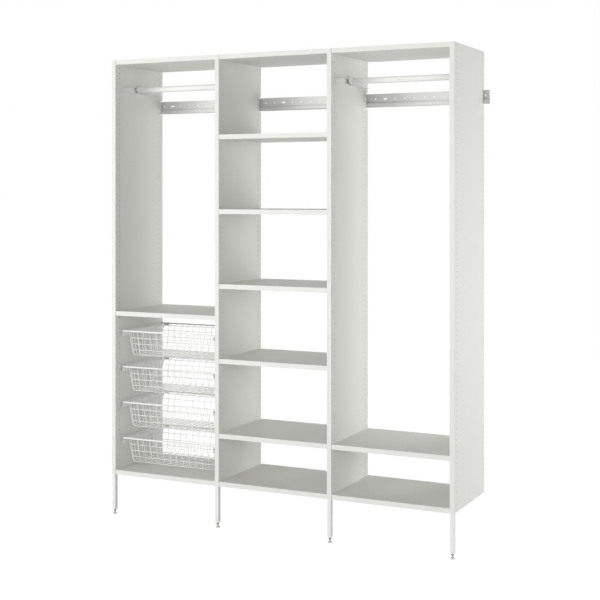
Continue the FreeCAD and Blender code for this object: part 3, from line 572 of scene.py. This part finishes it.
def bracket(wall, side):
    x = wall + side * bracket_sheet / 2
    rim = (side * (bracket_deep - bracket_sheet / 2), 0, 0)
    corners = [(x, y, bracket_z + z) for y, z in bracket_edge["low"] + bracket_edge["high"]]
    piece = line(corners, closed=True)
    bpy.ops.mesh.edge_face_add()
    for edge_name in ("low", "high"):
        places = [Vector((x, y, bracket_z + z)) for y, z in bracket_edge[edge_name]]
        bpy.ops.mesh.select_all(action="DESELECT")
        bpy.ops.object.mode_set(mode="OBJECT")
        for vertex in piece.data.vertices:
            vertex.select = any((vertex.co - place).length < 0.0001 for place in places)
        bpy.ops.object.mode_set(mode="EDIT")
        bpy.ops.mesh.select_mode(type="EDGE")
        bpy.ops.mesh.extrude_edges_move(TRANSFORM_OT_translate={"value": rim})
        bpy.ops.mesh.select_mode(type="VERT")
    bpy.ops.mesh.select_all(action="SELECT")
    bpy.ops.mesh.normals_make_consistent(inside=False)
    bpy.ops.object.mode_set(mode="OBJECT")
    modified(piece, "BEVEL", width=bracket_bend, segments=4, limit_method="ANGLE",
             angle_limit=bevel_from)
    modified(piece, "SOLIDIFY", thickness=bracket_sheet, offset=0, use_even_offset=True)
    return smoothed(piece)


bracket_coat = powder_coat("bracket_coat", (0.87, 0.87, 0.85))
screw = wall_screw()
hole_rows = (-hole_row, hole_row)
bay_walls = {"left": (-0.8685, -0.3035), "right": (0.3035, 0.8685)}
screws = []
for bay, walls in bay_walls.items():
    for side_name, side, wall in (("left", 1, walls[0]), ("right", -1, walls[1])):
        name = "%s_rail_%s_bracket" % (bay, side_name)
        fitted(bracket(wall, side), name + "_tray", bracket_coat, "bracket_steel", "closet", name)
        for row in hole_rows:
            turned_screw = turned_to(screw, side)
            screw_place = (wall + side * bracket_sheet, row, bracket_z)
            turned_screw.data.transform(Matrix.Translation(screw_place))
            screws.append(turned_screw)
fitted(joined(screws), "bracket_cross_screws", zinc, "zinc", "closet", "bracket_screws")


# Clothes rail holders: oval mouldings of light plastic on the brackets, with a rounded rim and a raised
# collar that fits closely round the end of the rail.
rail_height, holder_height = 2.087, 0.033
body_width, body_run, body_rounding = 0.090, 0.011, 0.003
collar_width, collar_start, collar_run, collar_rounding = 0.022, 0.010, 0.008, 0.0015


def moulded_oval(middle, width, height, run, rounding):
    piece = oval(middle, width, height)
    bpy.ops.mesh.edge_face_add()
    drawn_out(piece, (run, 0, 0))
    return modified(piece, "BEVEL", width=rounding, segments=4, limit_method="ANGLE",
                    angle_limit=bevel_from)


def holder(wall, side):
    base = wall + side * bracket_deep
    body = moulded_oval((base, 0, rail_height), body_width, holder_height, side * body_run, body_rounding)
    collar = moulded_oval((base + side * collar_start, 0, rail_height), collar_width, holder_height,
                          side * collar_run, collar_rounding)
    return smoothed(joined([body, collar]))


holder_plastic = powder_coat("holder_plastic", (0.78, 0.78, 0.76), 0.42)
holders = [holder(wall, side) for walls in bay_walls.values() for side, wall in zip((1, -1), walls)]
fitted(joined(holders), "clothes_rail_oval_holders", holder_plastic, "holder_plastic", "closet",
       "clothes_rail_holders")


# Clothes rails: oval steel tubes that stand on edge, 28 by 15 mm with a wall of 1.5 mm, rolled and
# lacquered white. Their ends stand in the holders.
rail_coat = powder_coat("rail_lacquer", (0.77, 0.77, 0.75), 0.28)
tube_width, tube_height, tube_wall, tube_gap = 0.015, 0.028, 0.0015, 0.016
for bay, walls in bay_walls.items():
    tube = oval((walls[0] + tube_gap, 0, rail_height), tube_width - tube_wall, tube_height - tube_wall)
    drawn_out(tube, (walls[1] - walls[0] - tube_gap * 2, 0, 0), tube_wall)
    fitted(smoothed(tube), bay + "_clothes_rail_tube", rail_coat, "clothes_rail", "closet",
           bay + "_clothes_rail")


# Runners: troughs of folded white sheet on the walls of the left bay, with a tall leg on the wall, a
# floor and a lip that leans inwards. The leg and the floor are cut back at a slant, and domed screws hold
# the runners.
runner_coat = powder_coat("runner_coat", (0.87, 0.87, 0.85))
runner_sheet = 0.0015
runner_front, runner_back = -0.176, 0.180
runner_low, runner_high = -0.0133, 0.0192
runner_width, lip_reach, lip_height = 0.0212, 0.0252, 0.006
cut_back, lip_foot, runner_bend = 0.018, 0.019, 0.0018
first_hole_line, basket_pitch = 0.882, 0.175


def runner(wall, side):
    half = runner_sheet / 2
    profile = [(half, runner_high), (half, runner_low + half), (runner_width, runner_low + half),
               (lip_reach, lip_height)]
    piece = line([(wall + side * x, runner_front, first_hole_line + z) for x, z in profile],
                 [0, runner_bend, runner_bend, 0])
    run = (0, runner_back - runner_front, 0)
    bpy.ops.mesh.extrude_region_move(TRANSFORM_OT_translate={"value": run})
    bpy.ops.mesh.select_all(action="DESELECT")
    bpy.ops.object.mode_set(mode="OBJECT")
    for face in piece.data.polygons:
        face.select = abs(face.center.x - wall) < lip_foot
    bpy.ops.object.mode_set(mode="EDIT")
    bpy.ops.mesh.select_mode(type="FACE")
    bpy.ops.mesh.bisect(plane_co=(0, runner_front, first_hole_line + runner_high),
                        plane_no=(0, runner_low - runner_high, -cut_back), clear_outer=True)
    bpy.ops.mesh.select_mode(type="VERT")
    bpy.ops.mesh.select_all(action="SELECT")
    bpy.ops.mesh.normals_make_consistent(inside=False)
    bpy.ops.object.mode_set(mode="OBJECT")
    modified(piece, "SOLIDIFY", thickness=runner_sheet, offset=0, use_even_offset=True)
    return smoothed(piece)


screws = []
for side_name, side, wall in zip(("left", "right"), (1, -1), bay_walls["left"]):
    trough = runner(wall, side)
    for number in range(1, 5):
        drop = -basket_pitch * (number - 1)
        node = "basket_%d_%s_runner" % (number, side_name)
        fitted(copied(trough, (0, 0, drop)), node + "_trough", runner_coat, "runner_steel", "closet",
               node)
        for row in hole_rows:
            turned_screw = turned_to(screw, side)
            screw_place = (wall + side * runner_sheet, row, first_hole_line + drop)
            turned_screw.data.transform(Matrix.Translation(screw_place))
            screws.append(turned_screw)
    bpy.data.objects.remove(trough)
bpy.data.objects.remove(screw)
fitted(joined(screws), "runner_cross_screws", zinc, "zinc", "closet", "runner_screws")


# Basket frames: a round bar in front, a flat rail on each side, a wire at the back and two small plates
# under its ends, all of steel and welded together. The back wire and the plates are painted a darker
# grey, as painted shade.
def rod(start, end, radius, rounding):
    start, end = Vector(start), Vector(end)
    bpy.ops.object.select_all(action="DESELECT")
    bpy.ops.mesh.primitive_cylinder_add(
        vertices=24, radius=radius, depth=(end - start).length, location=(start + end) / 2,
        rotation=(end - start).to_track_quat("Z", "Y").to_euler())
    piece = bpy.context.object
    bpy.ops.object.transform_apply(location=True, rotation=True, scale=True)
    return modified(piece, "BEVEL", width=rounding, segments=4, limit_method="ANGLE",
                    angle_limit=bevel_from)


bay_middle = -0.586
half_frame, side_rail_sheet = 0.2705, 0.003
side_rail_face = half_frame - side_rail_sheet
bar_y, bar_z, bar_radius = -0.158, 0.0105, 0.004
back_y, back_z, back_radius = 0.169, 0.017, 0.003
frame_back = 0.172
rail_low, rail_high = -0.0115, 0.0155
plate_near, plate_far = 0.2552, 0.2232
plate_sheet, plate_low, plate_high = 0.004, 0.006, 0.020
bar_rounding, back_rounding, rail_rounding, plate_rounding = 0.0018, 0.0014, 0.0013, 0.0009
bar_tone, back_shade_tone, back_shade_start = (0.95, 0.95, 0.93), (0.46, 0.46, 0.45), 0.165
frame_coat, start = new_material("frame_coat")
place = start.node("TexCoord", {}, {}, "Object")
cloud = noise(start, place, 12.0)
peel = noise(start, place, peel_grain)
finish(start, {
    # Painted shade: the back of the frame is painted a darker grey than the rest of the same coat.
    "Base Color": mix(start, position(start, "Y") > back_shade_start,
                      mix(start, cloud, shade_of(bar_tone, 0.98), shade_of(bar_tone, 1.02)),
                      mix(start, cloud, shade_of(back_shade_tone, 0.95), shade_of(back_shade_tone, 1.05))),
    "Roughness": 0.30 + peel * 0.1,
    "Normal": relief(start, peel, 0.00004),
})


def basket_frame():
    left, right = bay_middle - half_frame, bay_middle + half_frame
    z = first_hole_line
    parts = [
        rod((left, bar_y, z + bar_z), (right, bar_y, z + bar_z), bar_radius, bar_rounding),
        rod((left, back_y, z + back_z), (right, back_y, z + back_z), back_radius, back_rounding),
    ]
    for side in (-1, 1):
        near, far = sorted((bay_middle + side * half_frame, bay_middle + side * side_rail_face))
        parts.append(block((near, bar_y, z + rail_low), (far, frame_back, z + rail_high),
                           rail_rounding, 4))
        near, far = sorted((bay_middle + side * plate_near, bay_middle + side * plate_far))
        parts.append(block((near, frame_back - plate_sheet, z + plate_low),
                           (far, frame_back, z + plate_high), plate_rounding, 3))
    return smoothed(joined(parts))


frame_piece = basket_frame()
for number in range(1, 5):
    bars = copied(frame_piece, (0, 0, -basket_pitch * (number - 1)))
    fitted(bars, "basket_%d_bars" % number, frame_coat, "basket_wire", "basket_%d" % number,
           "basket_%d_frame" % number)
bpy.data.objects.remove(frame_piece)


# Basket meshes: bent round wires, welded where they cross. Fourteen run from the front bar down the
# front, along the floor and up to the back wire, nine run down and up the sides, and rings hold them.
wire_coat = powder_coat("wire_coat", (0.95, 0.95, 0.93), 0.30)


def bent_wire(points, bends, thickness, closed=False):
    wire = line(points, bends, closed)
    bpy.ops.object.mode_set(mode="OBJECT")
    bpy.ops.object.convert(target="CURVE")
    wire.data.bevel_depth = thickness / 2
    wire.data.bevel_resolution = 1
    wire.data.use_fill_caps = True
    bpy.ops.object.convert(target="MESH")
    return wire


wire_thickness, rim_thickness = 0.0030, 0.0034
half_wire = wire_thickness / 2
mesh_top, mesh_depth = first_hole_line + 0.0105, 0.123
half_width, side_taper = 0.2495, 0.008
half_length, end_taper = 0.140, 0.024
wire_bends = [0, 0.004, 0.012, 0.012, 0.004, 0]
ring_bends = [0.005] * 4


def mesh_size(drop):
    share = drop / mesh_depth
    return half_width - side_taper * share, half_length - end_taper * share


upper = mesh_top - half_wire
lower = mesh_top - mesh_depth + half_wire
floor_half_width, floor_half_length = mesh_size(mesh_depth)
column_pitch, column_count, grip = 0.0363, 14, 0.001
column = bent_wire(
    [(0, bar_y + grip, upper), (0, half_wire - half_length, upper),
     (0, half_wire - floor_half_length, lower + wire_thickness),
     (0, floor_half_length - half_wire, lower + wire_thickness),
     (0, half_length - half_wire, upper), (0, back_y, first_hole_line + back_z)],
    wire_bends, wire_thickness)
column.data.transform(Matrix.Translation((bay_middle - column_pitch * (column_count - 1) / 2, 0, 0)))
modified(column, "ARRAY", count=column_count, use_relative_offset=False, use_constant_offset=True,
         constant_offset_displace=(column_pitch, 0, 0))
wires = [column]
side_count = 9
for number in range(side_count):
    share = number * 2 / (side_count - 1) - 1
    top_y = share * (half_length - wire_thickness)
    floor_y = share * (floor_half_length - wire_thickness)
    path = [(side_rail_face, top_y, upper), (half_width - half_wire, top_y, upper),
            (floor_half_width - half_wire, floor_y, lower)]
    path = [(-x, y, z) for x, y, z in path] + path[::-1]
    path = [(bay_middle + x, y, z) for x, y, z in path]
    wires.append(bent_wire(path, wire_bends, wire_thickness))
# Each ring has its depth below the rim in front and at the back, its thickness, and its distance inside
# the outer face in wires.
rings = (
    (0.0016, 0.0016, rim_thickness, 0.5),
    (0.036, 0.0256, wire_thickness, 1.4),
    (0.0655, 0.0577, wire_thickness, 1.4),
    (0.0957, 0.086, wire_thickness, 1.4),
)
for front_drop, back_drop, thickness, inset in rings:
    corners = []
    for drop, direction in ((front_drop, -1), (back_drop, 1)):
        ring_width, ring_length = [half - wire_thickness * inset for half in mesh_size(drop)]
        ends = (-ring_width, ring_width) if direction < 0 else (ring_width, -ring_width)
        corners += [(bay_middle + x, direction * ring_length, mesh_top - drop) for x in ends]
    wires.append(bent_wire(corners, ring_bends, thickness, closed=True))
mesh_piece = smoothed(joined(wires), 50)
for number in range(1, 5):
    mesh_wires = copied(mesh_piece, (0, 0, -basket_pitch * (number - 1)))
    fitted(mesh_wires, "basket_%d_wires" % number, wire_coat, "basket_wire", "basket_%d" % number,
           "basket_%d_mesh" % number)
bpy.data.objects.remove(mesh_piece)

low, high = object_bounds()
